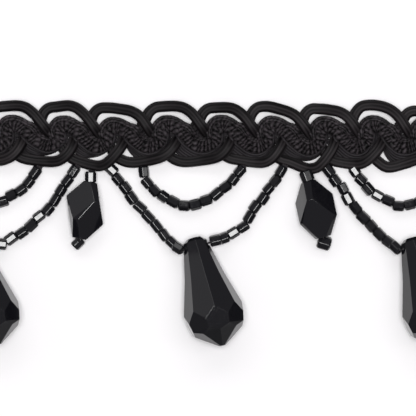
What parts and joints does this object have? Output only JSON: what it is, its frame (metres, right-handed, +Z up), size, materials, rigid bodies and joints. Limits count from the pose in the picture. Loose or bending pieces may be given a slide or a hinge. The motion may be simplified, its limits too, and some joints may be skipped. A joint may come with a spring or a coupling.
{
  "type": "beaded fringe trim",
  "caption": "Length of gimp braid with strung seed bead loops and swags, faceted teardrops and small skew-cut drops, for edging cushions, shades and curtains.",
  "frame": {"origin": "middle of the footprint, on the surface the trim lies on", "axes": "+X along the trim, +Y from the fringe towards the heading, +Z up out of the surface"},
  "size_m": [0.143, 0.0504, 0.012],
  "materials": {
    "satin_cord": "satin, fine lengthwise filament",
    "twisted_rope": "dull twisted yarn with close ridges",
    "glass_bead": "opaque, glossy, six cut sides",
    "faceted_acrylic": "polished flat facets"
  },
  "bodies": {
    "root": {"satin_cord_1": "satin_cord", "satin_cord_2": "satin_cord", "satin_cord_3": "satin_cord", "scroll_rope_1": "twisted_rope", "scroll_rope_2": "twisted_rope", "scallop_strand_1": "glass_bead", "scallop_strand_2": "glass_bead", "scallop_strand_3": "glass_bead", "swag_strand_1": "glass_bead", "swag_strand_2": "glass_bead", "swag_strand_3": "glass_bead", "teardrop_1": "faceted_acrylic", "teardrop_2": "faceted_acrylic", "teardrop_3": "faceted_acrylic", "small_drop_1": "faceted_acrylic", "small_drop_2": "faceted_acrylic", "small_drop_3": "faceted_acrylic", "small_drop_4": "faceted_acrylic", "drop_strand_1": "glass_bead", "drop_strand_2": "glass_bead", "drop_strand_3": "glass_bead", "drop_strand_4": "glass_bead"}
  },
  "joints": []
}
